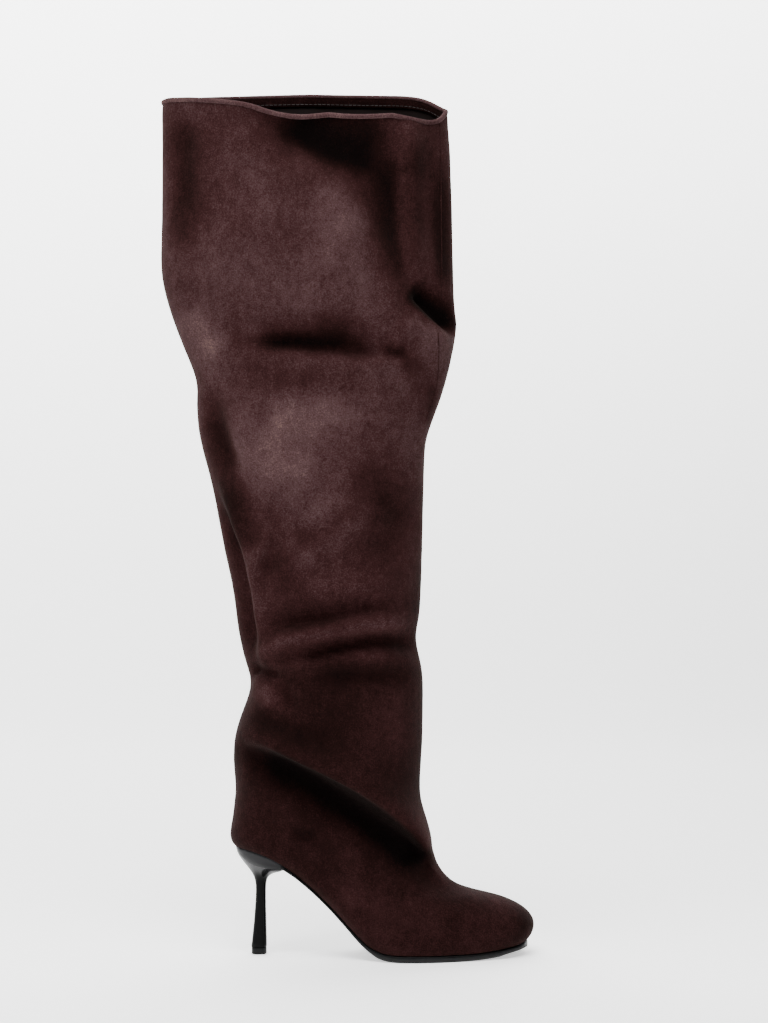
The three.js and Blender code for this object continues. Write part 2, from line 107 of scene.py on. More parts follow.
def brushed_suede():
    """Brushed suede: a matt, very short nap that goes paler and warmer where it is rubbed or stroked flat,
    with painted shade in the folds' hollows and painted highlights on their rolls, read from the tone laid on
    the points.
    """
    material, tree, shader = new_material("brushed_suede")
    place = add_node(tree, "ShaderNodeTexCoord").outputs["Object"]
    # Hand marks in the nap are 30 to 60 mm across, streaked down the shaft
    stretched = add_node(tree, "ShaderNodeMapping", Vector=place, Scale=(1.0, 1.0, 0.7)).outputs[0]
    marks = add_node(
        tree, "ShaderNodeTexNoise", Vector=stretched, Scale=26.0, Detail=5.0, Roughness=0.66, Distortion=0.25
    ).outputs["Fac"]
    # Small brush strokes are 3 to 6 mm long
    strokes = add_node(
        tree, "ShaderNodeTexNoise", Vector=stretched, Scale=210.0, Detail=4.0, Roughness=0.7, Distortion=0.5
    ).outputs["Fac"]
    # The fibres are 0.1 mm; they are drawn at 1 mm so that the render shows them
    fibres = add_node(
        tree, "ShaderNodeTexNoise", Vector=place, Scale=1000.0, Detail=2.0, Roughness=0.8
    ).outputs["Fac"]
    # The nap's tone is what is laid on the points, plus a share of each of the three
    # The tone laid on the points holds the nap's own marks together with painted shade and painted highlights
    tone = add_node(tree, "ShaderNodeAttribute", {"attribute_name": "nap_and_painted_light_tone"}).outputs["Fac"]
    marks_share, strokes_share, fibres_share = 0.7, 0.5, 1.15
    for noise, share in ((marks, marks_share), (strokes, strokes_share), (fibres, fibres_share)):
        tone = add_node(
            tree, "ShaderNodeMath", {"operation": "MULTIPLY_ADD"}, _0=noise, _1=share, _2=tone
        ).outputs[0]
    darkest, palest = 0.375, 2.375
    shade = add_node(tree, "ShaderNodeMapRange", Value=tone, From_Min=darkest, From_Max=palest).outputs[0]
    stops = [
        (0.0, "#040101"),
        (0.25, "#150706"),
        (0.45, "#291515"),
        (0.65, "#402e2f"),
        (0.85, "#5f4a46"),
        (1.0, "#796555"),
    ]
    colour = add_node(tree, "ShaderNodeValToRGB", stops=stops, Fac=shade).outputs[0]
    tree.links.new(colour, shader.inputs["Base Color"])
    shader.inputs["Roughness"].default_value = 0.93
    shader.inputs["Specular IOR Level"].default_value = 0.04
    shader.inputs["Sheen Weight"].default_value = 0.045
    shader.inputs["Sheen Roughness"].default_value = 0.5
    shader.inputs["Sheen Tint"].default_value = linear("#a48a80")
    fibres_height = 0.6
    fine = add_node(
        tree, "ShaderNodeMath", {"operation": "MULTIPLY_ADD"}, _0=fibres, _1=fibres_height, _2=strokes
    ).outputs[0]
    bump = add_node(tree, "ShaderNodeBump", Strength=0.6, Distance=0.001, Height=fine).outputs[0]
    tree.links.new(bump, shader.inputs["Normal"])
    return material


def knit_lining():
    """Black brushed tricot lining: dull, with fine upright ribs."""
    material, tree, shader = new_material("tricot_lining")
    place = add_node(tree, "ShaderNodeTexCoord").outputs["Object"]
    # The ribs are 0.8 mm apart
    ribs = add_node(
        tree, "ShaderNodeTexWave", {"bands_direction": "X"},
        Vector=place, Scale=390.0, Distortion=1.2, Detail=1.0
    ).outputs["Fac"]
    stops = [(0.0, "#0c0807"), (1.0, "#1a1211")]
    colour = add_node(tree, "ShaderNodeValToRGB", stops=stops, Fac=ribs).outputs[0]
    tree.links.new(colour, shader.inputs["Base Color"])
    shader.inputs["Roughness"].default_value = 0.88
    shader.inputs["Specular IOR Level"].default_value = 0.1
    bump = add_node(tree, "ShaderNodeBump", Strength=0.3, Distance=0.0003, Height=ribs).outputs[0]
    tree.links.new(bump, shader.inputs["Normal"])
    return material


def sock_leather():
    """Synthetic leather sock: smooth, faintly grained."""
    material, tree, shader = new_material("sock_leather")
    place = add_node(tree, "ShaderNodeTexCoord").outputs["Object"]
    # The grain's cells are about 1 mm
    grain = add_node(tree, "ShaderNodeTexVoronoi", Vector=place, Scale=900.0).outputs["Distance"]
    stops = [(0.0, "#15100e"), (0.8, "#221a17")]
    colour = add_node(tree, "ShaderNodeValToRGB", stops=stops, Fac=grain).outputs[0]
    tree.links.new(colour, shader.inputs["Base Color"])
    shader.inputs["Roughness"].default_value = 0.55
    bump = add_node(tree, "ShaderNodeBump", Strength=0.25, Distance=0.0002, Height=grain).outputs[0]
    tree.links.new(bump, shader.inputs["Normal"])
    return material


def sole_rubber():
    """Moulded rubber sole: black, waxed a little shiny and scuffed duller in patches."""
    material, tree, shader = new_material("waxed_sole_rubber")
    place = add_node(tree, "ShaderNodeTexCoord").outputs["Object"]
    scuff = add_node(
        tree, "ShaderNodeTexNoise", Vector=place, Scale=420.0, Detail=4.0, Roughness=0.6
    ).outputs["Fac"]
    stops = [(0.35, "#080808"), (0.75, "#121213")]
    colour = add_node(tree, "ShaderNodeValToRGB", stops=stops, Fac=scuff).outputs[0]
    tree.links.new(colour, shader.inputs["Base Color"])
    waxed, scuffed = 0.3, 0.46
    rough = add_node(
        tree, "ShaderNodeMapRange", Value=scuff, From_Min=0.3, From_Max=0.8, To_Min=waxed, To_Max=scuffed
    ).outputs[0]
    tree.links.new(rough, shader.inputs["Roughness"])
    shader.inputs["Specular IOR Level"].default_value = 0.15
    bump = add_node(tree, "ShaderNodeBump", Strength=0.15, Distance=0.0002, Height=scuff).outputs[0]
    tree.links.new(bump, shader.inputs["Normal"])
    return material


def lacquered_heel():
    """Injection-moulded ABS heel with black lacquer: a deep gloss with a faint orange-peel, and the cup
    painted greyer as a painted reflection.
    """
    material, tree, shader = new_material("black_lacquered_abs")
    place = add_node(tree, "ShaderNodeTexCoord").outputs["Object"]
    peel = add_node(tree, "ShaderNodeTexNoise", Vector=place, Scale=260.0, Detail=2.0).outputs["Fac"]
    # The cup under the seat is painted a shade greyer than the stem, a painted reflection of the studio's
    # light; the change is between these heights in metres
    stem_end, cup_start = 0.06, 0.075
    height = add_node(tree, "ShaderNodeSeparateXYZ", Vector=place).outputs["Z"]
    painted_cup_reflection = add_node(tree, "ShaderNodeMapRange", Value=height, From_Min=stem_end, From_Max=cup_start).outputs[0]
    peel_share = 0.1
    tone = add_node(
        tree, "ShaderNodeMath", {"operation": "MULTIPLY_ADD"}, _0=peel, _1=peel_share, _2=painted_cup_reflection
    ).outputs[0]
    stops = [(0.04, "#020202"), (0.1, "#040404"), (1.0, "#272728")]
    colour = add_node(tree, "ShaderNodeValToRGB", stops=stops, Fac=tone).outputs[0]
    tree.links.new(colour, shader.inputs["Base Color"])
    glossy, hazy = 0.16, 0.22
    rough = add_node(
        tree, "ShaderNodeMapRange", Value=peel, From_Min=0.3, From_Max=0.8, To_Min=glossy, To_Max=hazy
    ).outputs[0]
    tree.links.new(rough, shader.inputs["Roughness"])
    shader.inputs["Specular IOR Level"].default_value = 0.05
    bump = add_node(tree, "ShaderNodeBump", Strength=0.04, Distance=0.0002, Height=peel).outputs[0]
    tree.links.new(bump, shader.inputs["Normal"])
    return material


def top_piece_rubber():
    """Hard polyurethane top piece: black, matt, with a moulding texture."""
    material, tree, shader = new_material("top_piece_polyurethane")
    place = add_node(tree, "ShaderNodeTexCoord").outputs["Object"]
    grit = add_node(tree, "ShaderNodeTexNoise", Vector=place, Scale=900.0, Detail=3.0).outputs["Fac"]
    stops = [(0.3, "#040505"), (0.8, "#0b0c0c")]
    colour = add_node(tree, "ShaderNodeValToRGB", stops=stops, Fac=grit).outputs[0]
    tree.links.new(colour, shader.inputs["Base Color"])
    shader.inputs["Roughness"].default_value = 0.5
    shader.inputs["Specular IOR Level"].default_value = 0.15
    bump = add_node(tree, "ShaderNodeBump", Strength=0.3, Distance=0.0002, Height=grit).outputs[0]
    tree.links.new(bump, shader.inputs["Normal"])
    return material


def sewing_thread():
    """Twisted polyester sewing thread, as dark as the suede."""
    material, tree, shader = new_material("polyester_thread")
    place = add_node(tree, "ShaderNodeTexCoord").outputs["Object"]
    twist = add_node(tree, "ShaderNodeTexNoise", Vector=place, Scale=2500.0, Detail=1.0).outputs["Fac"]
    stops = [(0.3, "#120a09"), (0.7, "#241716")]
    colour = add_node(tree, "ShaderNodeValToRGB", stops=stops, Fac=twist).outputs[0]
    tree.links.new(colour, shader.inputs["Base Color"])
    shader.inputs["Roughness"].default_value = 0.6
    return material


SUEDE = brushed_suede()
LINING = knit_lining()
SOCK = sock_leather()
SOLE = sole_rubber()
HEEL = lacquered_heel()
TOP_PIECE = top_piece_rubber()
THREAD = sewing_thread()


# Camera, floor and light

CAMERA_PLACE = Vector((0.0945, -1.6, 0.335))
PHOTO_WIDTH, PHOTO_HEIGHT = 768, 1023
PIXELS_PER_METRE = 1320  # in the boot's middle plane
ORIGIN_PIXEL = (259.2, 953.2)  # where the photograph shows the boot's origin
ROOM_STRENGTH = 0.55  # how brightly the room round the set shines


def set_camera():
    """A level camera that looks straight at the outer side, framed as the photograph is."""
    data = bpy.data.cameras.new("camera")
    data.sensor_fit = "VERTICAL"
    data.sensor_height = 36.0
    view_height = PHOTO_HEIGHT / PIXELS_PER_METRE
    distance = -CAMERA_PLACE.y
    data.lens = data.sensor_height * distance / view_height
    camera = bpy.data.objects.new("camera", data)
    camera.location = CAMERA_PLACE
    camera.rotation_euler = (math.pi / 2, 0, 0)
    # The picture's middle, in the boot's middle plane
    middle_x = (PHOTO_WIDTH / 2 - ORIGIN_PIXEL[0]) / PIXELS_PER_METRE
    middle_z = (ORIGIN_PIXEL[1] - PHOTO_HEIGHT / 2) / PIXELS_PER_METRE
    data.shift_x = (middle_x - CAMERA_PLACE.x) / view_height
    data.shift_y = (middle_z - CAMERA_PLACE.z) / view_height
    bpy.context.scene.collection.objects.link(camera)
    bpy.context.scene.camera = camera


def backdrop():
    """A pale floor that sweeps up into a pale wall behind the boot."""
    front, depth, height, half_width = -3.0, 2.2, 2.8, 4.0
    bend, steps = 0.9, 24
    profile = [(front, 0.0), (depth - bend, 0.0)]
    for k in range(1, steps + 1):
        turn = math.pi / 2 * k / steps
        profile.append((depth - bend + bend * math.sin(turn), bend - bend * math.cos(turn)))
    profile.append((depth, height))
    mesh = bmesh.new()
    left = [mesh.verts.new((-half_width, y, z)) for y, z in profile]
    edges = [mesh.edges.new(pair) for pair in zip(left, left[1:])]
    grown = bmesh.ops.extrude_edge_only(mesh, edges=edges)
    moved = [part for part in grown["geom"] if isinstance(part, bmesh.types.BMVert)]
    bmesh.ops.translate(mesh, verts=moved, vec=(2 * half_width, 0, 0))
    bmesh.ops.recalc_face_normals(mesh, faces=mesh.faces)
    data = bpy.data.meshes.new("backdrop")
    mesh.to_mesh(data)
    mesh.free()
    for polygon in data.polygons:
        polygon.use_smooth = True
    material, tree, shader = new_material("matt_white_paint")
    shader.inputs["Base Color"].default_value = linear("#f6f6f6")
    shader.inputs["Roughness"].default_value = 0.9
    # It glows as painted light: more on the floor in front than behind, more up the wall, and more towards
    # the left
    place = add_node(tree, "ShaderNodeTexCoord").outputs["Object"]
    across, back, up = add_node(tree, "ShaderNodeSeparateXYZ", Vector=place).outputs
    floor_front, floor_back, wall_rise, side_shift = 0.8, 0.4, 2.6, 0.35
    floor_glow = add_node(
        tree, "ShaderNodeMapRange", Value=back,
        From_Min=-0.1, From_Max=0.6, To_Min=floor_front, To_Max=floor_back
    ).outputs[0]
    glow = add_node(
        tree, "ShaderNodeMath", {"operation": "MULTIPLY_ADD"}, _0=up, _1=wall_rise, _2=floor_glow
    ).outputs[0]
    side_glow = add_node(
        tree, "ShaderNodeMapRange", Value=across,
        From_Min=-0.6, From_Max=0.9, To_Min=side_shift, To_Max=-side_shift
    ).outputs[0]
    glow = add_node(tree, "ShaderNodeMath", {"operation": "ADD"}, _0=glow, _1=side_glow).outputs[0]
    shader.inputs["Emission Color"].default_value = linear("#ffffff")
    tree.links.new(glow, shader.inputs["Emission Strength"])
    data.materials.append(material)
    floor = bpy.data.objects.new("backdrop", data)
    bpy.context.scene.collection.objects.link(floor)


def area_light(name, place, aim, size, power, in_gloss=True):
    """A soft rectangular studio light. in_gloss says whether polished faces mirror it."""
    data = bpy.data.lights.new(name, "AREA")
    data.shape = "RECTANGLE"
    data.size, data.size_y = size
    data.energy = power
    light = bpy.data.objects.new(name, data)
    light.location = place
    light.visible_glossy = in_gloss
    light.rotation_euler = (Vector(aim) - Vector(place)).to_track_quat("-Z", "Y").to_euler()
    bpy.context.scene.collection.objects.link(light)


def set_light():
    """A large soft light overhead, a weak one from the front left, a wash on the wall, and the room."""
    area_light("overhead", place=(-0.1, -0.6, 1.9), aim=(0.05, 0.0, 0.3), size=(1.3, 0.8), power=62)
    area_light(
        "front_left", place=(-1.3, -1.7, 1.1), aim=(0.05, 0.0, 0.35), size=(0.8, 1.0), power=8, in_gloss=False
    )
    area_light("wall_wash", place=(-0.2, 1.1, 2.5), aim=(-0.2, 2.2, 0.9), size=(2.6, 0.4), power=60)
    world = bpy.data.worlds.new("studio")
    world.use_nodes = True
    tree = world.node_tree
    sky = tree.nodes["Background"]
    # The room is pale overhead and dark at eye level, so that gloss shows dark with pale edges
    way = add_node(tree, "ShaderNodeTexCoord").outputs["Generated"]
    up = add_node(tree, "ShaderNodeSeparateXYZ", Vector=way).outputs["Z"]
    stops = [(0.0, "#3a3a3a"), (0.25, "#4c4c4d"), (0.75, "#ffffff")]
    room = add_node(tree, "ShaderNodeValToRGB", stops=stops, Fac=up).outputs[0]
    tree.links.new(room, sky.inputs["Color"])
    sky.inputs["Strength"].default_value = ROOM_STRENGTH
    bpy.context.scene.world = world


set_camera()
backdrop()
set_light()


# The suede upper

# Each fold is drawn on the side view in millimetres (x, z); on the outer side, as the camera sees it
# against the boot's middle plane. height is how far it stands out (below zero, in). left and right are
# its widths on the two sides of the line as it is walked; drop is how far it sags. A line that runs
# towards the toe has the side above it on its left; one that runs down has the toe's side there.
# taper is the share of the line over which its ends rise, and last_taper that share for its last end.
# A fold that wraps goes on round the front of the shin.
OUTER_FOLDS = [
    # The hollow under the collar, which turns down beside the front roll and runs out at the corner
    dict(line=[(2, 636), (28, 618), (61, 598), (90, 572), (98, 548), (101, 522)],
         height=-12, left=34, right=15),
    dict(line=[(114, 640), (114, 600), (115, 560), (118, 520)], height=7, left=10, right=7),
    dict(line=[(116, 504), (130, 488), (150, 473)], height=-11, left=12, right=4, taper=0.2),
    dict(line=[(104, 482), (124, 471), (146, 462)], height=5, left=5, right=18),
    # The full cloth over the knee and the undercut below it
    dict(line=[(-40, 560), (0, 530), (50, 516), (88, 514)], height=6, left=40, right=34),
    dict(line=[(-8, 464), (12, 463), (46, 459), (78, 456), (108, 458)], height=-10, left=17, right=6),
    dict(line=[(94, 458), (104, 451), (112, 457)], height=-3, left=4, right=4),
    # The soft hollow down the back of the thigh
    dict(line=[(-58, 640), (-60, 590), (-54, 560)], height=-4, left=10, right=8),
    # Slack down the back of the calf
    dict(line=[(-40, 430), (-32, 396), (-18, 362)], height=-6, left=10, right=9),
    dict(line=[(-22, 420), (-8, 380), (14, 330)], height=5, left=16, right=9),
    dict(line=[(-33, 350), (-25, 324), (-16, 302), (-10, 276), (-7, 247), (-3, 218)],
         height=-7, left=4, right=7),
    dict(line=[(-30, 358), (-18, 324), (-9, 302), (-4, 276), (-1, 247), (3, 222)],
         height=4, left=9, right=4),
    dict(line=[(6, 315), (0, 299), (-5, 283)], height=6, left=4, right=4, taper=0.4),
    dict(line=[(12, 318), (9, 300), (4, 284)], height=-3, left=5, right=4, taper=0.4),
    dict(line=[(10, 380), (34, 350), (62, 336), (88, 330)], height=4.5, left=20, right=13),
    dict(line=[(86, 300), (100, 318), (112, 338)], height=-5, left=15, right=16),
    dict(line=[(26, 296), (58, 320), (84, 333)], height=3.5, left=5, right=11),
    dict(line=[(18, 272), (60, 274), (108, 282)], height=3.5, left=10, right=8),
    # The shin's rolls
    dict(line=[(1, 246), (46, 255), (82, 261), (104, 262)], height=-5, left=9, right=5),
    dict(line=[(-4, 224), (22, 236), (46, 242), (84, 250), (118, 249)],
         height=7, left=7, right=5, taper=0.2),
    dict(line=[(30, 222), (71, 235), (94, 239), (120, 231)], height=-5, left=5, right=6, taper=0.15),
    dict(line=[(14, 214), (50, 224), (84, 226), (118, 221)], height=4, left=4, right=4),
    dict(line=[(36, 208), (72, 211), (120, 208)], height=-4.5, left=5, right=9),
    dict(line=[(-8, 215), (4, 213), (18, 212)], height=-4.5, left=3.5, right=4.5),
    dict(line=[(18, 206), (24, 194), (26, 182)], height=-3, left=4, right=5),
    dict(line=[(-8, 204), (6, 200), (16, 188)], height=3.5, left=10, right=11),
    # Slack above the ankle, then the roll that hangs over the foot
    dict(line=[(-10, 178), (10, 175), (36, 166), (62, 150)], height=-4, left=9, right=6),
    dict(line=[(-20, 160), (-7, 166), (21, 159), (54, 142), (86, 124), (114, 100), (128, 82), (134, 68)],
         height=8, left=10, right=6, drop=6.5, taper=0.3, last_taper=0.1, wraps=True),
    dict(line=[(-12, 153), (-2, 151), (25, 140), (56, 122), (86, 102), (112, 82), (124, 68)],
         height=-10, left=5, right=15, taper=0.22, last_taper=0.08),
    # Creases where the vamp bends, and finger marks on the foot
    dict(line=[(118, 62), (131, 50), (144, 38)], height=-1.6, left=5, right=5),
    dict(line=[(142, 48), (152, 40), (158, 30)], height=-1.2, left=4, right=5),
    dict(line=[(26, 92), (33, 87), (42, 90)], height=-1.6, left=5, right=5),
]
# The inner side hangs the same way, less deeply
INNER_FOLDS = [
    dict(line=[(-30, 600), (20, 586), (80, 596)], height=-6, left=26, right=24),
    dict(line=[(-20, 468), (40, 458), (100, 464)], height=-8, left=16, right=12),
    dict(line=[(-16, 500), (40, 492), (100, 494)], height=5, left=22, right=12),
    dict(line=[(-30, 380), (-14, 330), (-6, 280)], height=-5, left=8, right=8),
    dict(line=[(8, 400), (40, 350), (84, 312)], height=-4, left=16, right=16),
    dict(line=[(-6, 238), (40, 246), (104, 250)], height=6, left=8, right=8),
    dict(line=[(0, 224), (50, 230), (110, 236)], height=-5.5, left=7, right=8),
    dict(line=[(-12, 166), (22, 164), (54, 149), (82, 131), (112, 109)],
         height=5.5, left=10, right=7, drop=4),
    dict(line=[(-2, 152), (25, 143), (57, 127), (92, 105), (116, 86)], height=-6, left=8, right=17),
    dict(line=[(118, 64), (134, 50), (150, 40)], height=-1.2, left=5, right=6),
]
FOLDS = [dict(side=OUTER, **row) for row in OUTER_FOLDS]
FOLDS += [dict(side=INNER, **row) for row in INNER_FOLDS]

# Where the suede is painted paler (above zero) or darker, drawn the same way; width is to either side. These
# are partly the nap's own marks and partly painted light: the dark ones in the hollow under the collar, under
# the knee's roll and along the ankle's undercut are painted shade, and the pale ones on the roll's ridge, the
# thigh's back edge and the vamp are painted highlights.
OUTER_NAP_AND_PAINTED_MARKS = [
    dict(line=[(8, 636), (30, 622), (60, 606), (98, 596)], tone=-0.85, left=40, right=8),
    dict(line=[(99, 612), (101, 556), (106, 506)], tone=-0.62, left=5, right=12),
    dict(line=[(137, 600), (139, 540), (142, 500)], tone=-0.6, width=7),
    dict(line=[(112, 502), (130, 489), (152, 478)], tone=-1.0, left=10, right=6, taper=0.1),
    dict(line=[(-6, 462), (30, 464), (74, 462)], tone=-0.75, left=7, right=5),
    dict(line=[(40, 477), (56, 475), (70, 470)], tone=-0.24, width=8),
    dict(line=[(119, 620), (118, 560), (120, 520)], tone=-0.36, width=10),
    dict(line=[(96, 462), (104, 455), (112, 460)], tone=-0.35, width=4),
    dict(line=[(106, 452), (114, 446), (122, 440)], tone=-0.22, width=6),
    dict(line=[(128, 436), (130, 418), (126, 396)], tone=-0.34, width=5),
    dict(line=[(-62, 640), (-56, 600), (-60, 560), (-52, 530)], tone=-0.34, width=13),
    dict(line=[(-74, 610), (-73, 570), (-72, 520)], tone=0.16, width=6),
    dict(line=[(-30, 560), (0, 545), (40, 530)], tone=-0.1, width=18),
    dict(line=[(44, 586), (70, 566), (84, 540)], tone=0.16, width=18),
    dict(line=[(-60, 490), (-44, 470), (-30, 450)], tone=0.34, width=14),
    dict(line=[(-18, 448), (20, 436), (60, 430)], tone=-0.14, width=10),
    dict(line=[(0, 412), (30, 408), (84, 408)], tone=0.27, left=14, right=22),
    dict(line=[(-8, 392), (20, 372), (44, 356)], tone=0.2, width=18),
    dict(line=[(-40, 420), (-31, 381), (-24, 336), (-15, 298)], tone=-0.4, left=12, right=8),
    dict(line=[(-20, 356), (-13, 328), (-5, 298)], tone=-0.26, width=10),
    dict(line=[(-17, 392), (-14, 374), (-12, 352)], tone=0.16, width=5),
    dict(line=[(24, 303), (56, 327), (80, 341)], tone=-0.16, width=6),
    dict(line=[(70, 372), (96, 348), (104, 320)], tone=-0.3, width=20),
    dict(line=[(14, 348), (30, 334), (54, 322)], tone=0.12, width=10),
    dict(line=[(10, 306), (18, 286), (24, 268)], tone=-0.2, width=10),
    dict(line=[(-14, 312), (-8, 280), (-2, 250)], tone=0.16, width=6),
    dict(line=[(124, 300), (122, 270), (118, 250)], tone=-0.2, width=8),
    dict(line=[(-4, 226), (22, 238), (46, 244), (90, 252), (116, 250)], tone=0.12, width=6, taper=0.1),
    dict(line=[(4, 240), (46, 250), (84, 256)], tone=-0.16, width=4),
    dict(line=[(36, 222), (71, 234), (94, 238), (116, 231)], tone=-0.14, width=4),
    dict(line=[(40, 212), (84, 214), (116, 210)], tone=-0.2, width=7),
    dict(line=[(2, 202), (6, 196), (12, 186)], tone=0.24, width=9),
    dict(line=[(24, 192), (50, 186), (76, 178)], tone=-0.16, width=20),
    dict(line=[(80, 186), (96, 168), (104, 142)], tone=0.14, width=15),
    dict(line=[(-8, 178), (14, 172), (40, 160)], tone=-0.24, width=7),
    dict(line=[(4, 154), (28, 144), (56, 127), (86, 106), (108, 88), (122, 72), (128, 64)],
         tone=-1.25, left=7, right=14, taper=0.1),
    dict(line=[(26, 92), (33, 87), (42, 90)], tone=-0.2, width=5),
    dict(line=[(130, 66), (143, 54), (160, 45)], tone=0.2, width=9),
    dict(line=[(58, 50), (80, 37), (104, 30)], tone=0.12, width=10),
    dict(line=[(172, 38), (186, 32), (194, 26)], tone=0.18, width=9),
    dict(line=[(199, 26), (204, 17), (202, 9)], tone=-0.25, width=4),
    dict(line=[(116, 108), (124, 94), (133, 78)], tone=0.2, width=5, taper=0.15),
]
INNER_NAP_AND_PAINTED_MARKS = [
    dict(line=[(-20, 424), (30, 416), (84, 412)], tone=0.2, width=24),
    dict(line=[(4, 153), (28, 143), (56, 126), (84, 108), (112, 86)], tone=-0.4, width=9),
]
NAP_MARKS_AND_PAINTED_SHADING = [dict(side=OUTER, **row) for row in OUTER_NAP_AND_PAINTED_MARKS]
NAP_MARKS_AND_PAINTED_SHADING += [dict(side=INNER, **row) for row in INNER_NAP_AND_PAINTED_MARKS]
# How pale the suede is up the boot, darker towards the foot: (height in millimetres, tone)
SUEDE_TONE_BY_HEIGHT = [
    (0, -0.14), (60, -0.2), (150, -0.26), (220, -0.13), (300, 0.09), (380, 0.19), (480, 0.2), (650, 0.15),
]
# Painted shade and light on the folds: a hollow this deep in millimetres is painted darker by the whole fold
# tone, and a roll is painted paler by this share of it at most
FULL_PAINTED_SHADE_DEPTH, FOLD_PAINTED_SHADING, ROLL_PAINTED_LIGHT_SHARE = 8, 0.22, 0.6
# The facing's nap is darker than the wall's
FACING_TONE = -0.35

# The cloth's slow unevenness in millimetres: the waves' length, their seed, how far they push the wall,
# and the share of that which is left on the foot
UNEVENNESS = [
    dict(step=95, seed=3, push=1.5, on_foot=0.0),
    dict(step=34, seed=5, push=0.7, on_foot=0.25),
    dict(step=15, seed=8, push=0.35, on_foot=0.4),
    dict(step=24, seed=13, push=0.35, on_foot=0.0),
]
# The shaft's slack begins between these heights
SLACK_FROM = (150, 230)
# Folds die out over this distance above the feather edge, and between these below the collar's edge
FOOT_EDGE, COLLAR_EDGE = 14, (1, 15)
# The seams hold the cloth round the narrow front and back, where folds keep this share of their height.
# The share grows to the whole while the wall turns sideways, between these sideways parts of its way out
HELD_SHARE, TURNING = 0.3, (0.2, 0.75)
# What wraps the shin keeps this share
WRAP_SHARE = 0.9
# A fold on one side fades out across the boot's middle plane, between these distances from it
FADE = (-3, 13)
# A fold that wraps the shin goes this much further round the front, ahead of these stations
FRONT_WRAP = 17
SHIN_FRONT = (75, 110)
# A fold's ends keep this share of its height, and rise to the whole over this share of its line
END_SHARE, TAPER = 0.2, 0.25
# How far the front, the back and the toe swell to bring the outline back to the photograph's
FRONT_SWELL, BACK_SWELL, TOE_SWELL = 2.0, 1.2, 1.8

# The middle of the ankle and foot, from the shaft to the toes
FOOT_AXIS = [(52, 0, 260), (52, 0, 175), (54, 0, 130), (68, 0, 88), (96, 0, 42), (130, 3, 24), (186, 4, 17)]
# The feather edge, where the upper meets the heel's seat and the outsole: (x, height)
FEATHER_EDGE = [
    (-18, 82), (0, 78), (20, 69), (40, 53), (60, 34), (80, 14), (96, 6), (150, 5), (200, 9),
]
# How far the collar edge lies above its drawn line: (x, rise)
NEAR_RIM_WAVE = [
    (-74, -0.6), (-66, 1.0), (-50, 2.2), (-20, 0), (8, 0), (18, -2.3), (31, 0), (54, 2.4), (74, 0),
    (101, 4.4), (120, 1.4), (132, 2.4), (140, -1.5), (144, -3),
]
FAR_RIM_WAVE = [
    (-74, -0.6), (-50, 1.6), (-20, 1), (10, 2), (38, 3.2), (80, 3), (110, 2.4), (126, 2.4), (138, -1.5),
    (144, -3),
]


def smooth_step(low, high, value):
    """0 below low, 1 above high, eased between."""
    share = np.clip((value - low) / (high - low), 0, 1)
    return share * share * (3 - 2 * share)


def rounded_line(points):
    """A polyline with its corners cut twice, so that it runs smoothly."""
    line = np.array(points, float)
    for _ in range(2):
        starts, ends = line[:-1], line[1:]
        cut = np.empty((2 * len(starts), 2))
        cut[0::2] = starts * 0.75 + ends * 0.25
        cut[1::2] = starts * 0.25 + ends * 0.75
        line = np.vstack([line[:1], cut, line[-1:]])
    return line


def beside_line(points, line):
    """For each point: its share along the line, its distance, and 1 above the line or -1 below it."""
    starts, ends = line[:-1], line[1:]
    steps = ends - starts
    lengths = np.hypot(steps[:, 0], steps[:, 1])
    before = np.concatenate([[0], np.cumsum(lengths)])
    best = np.full(len(points), np.inf)
    along = np.zeros(len(points))
    side = np.ones(len(points))
    for k, (start, step, length) in enumerate(zip(starts, steps, lengths)):
        away = points - start
        share = np.clip(away @ step / length**2, 0, 1)
        gap = away - share[:, None] * step
        distance = np.hypot(gap[:, 0], gap[:, 1])
        near = distance < best
        best[near] = distance[near]
        along[near] = ((before[k] + share * length) / before[-1])[near]
        cross = step[0] * away[:, 1] - step[1] * away[:, 0]
        side[near] = np.where(cross >= 0, 1.0, -1.0)[near]
    return along, best, side


# What the camera sees on the near wall lies this much closer to the point that it looks at
EYE = np.array([CAMERA_PLACE.x, CAMERA_PLACE.z]) * TO_MM
NEAR_SIDE = 0.976


def strength(places, fold):
    """How strongly a fold or a tone mark acts at each point, from 0 to 1."""
    line = rounded_line(fold["line"])
    if fold["side"] == OUTER:
        line = EYE + (line - EYE) * NEAR_SIDE
    left, right = fold.get("left", fold.get("width")), fold.get("right", fold.get("width"))
    # Beyond three widths nothing is left of a fold
    reach = 3 * max(left, right)
    flat = places[:, [0, 2]]
    inside = np.all((flat > line.min(0) - reach) & (flat < line.max(0) + reach), axis=1)
    inside &= fold["side"] * places[:, 1] > FADE[0] - FRONT_WRAP
    shares = np.zeros(len(places))
    along, distance, side = beside_line(flat[inside], line)
    first_end = fold.get("taper", TAPER)
    last_end = fold.get("last_taper", first_end)
    taper = smooth_step(0, first_end, along) * smooth_step(0, last_end, 1 - along)
    height = END_SHARE + (1 - END_SHARE) * taper
    shape = np.exp(-((distance / np.where(side > 0, left, right)) ** 2)) * height
    start = np.full(len(along), float(FADE[0]))
    if fold.get("wraps"):
        start -= FRONT_WRAP * smooth_step(*SHIN_FRONT, places[inside, 0])
    shares[inside] = shape * smooth_step(start, start + FADE[1] - FADE[0], fold["side"] * places[inside, 1])
    return shares


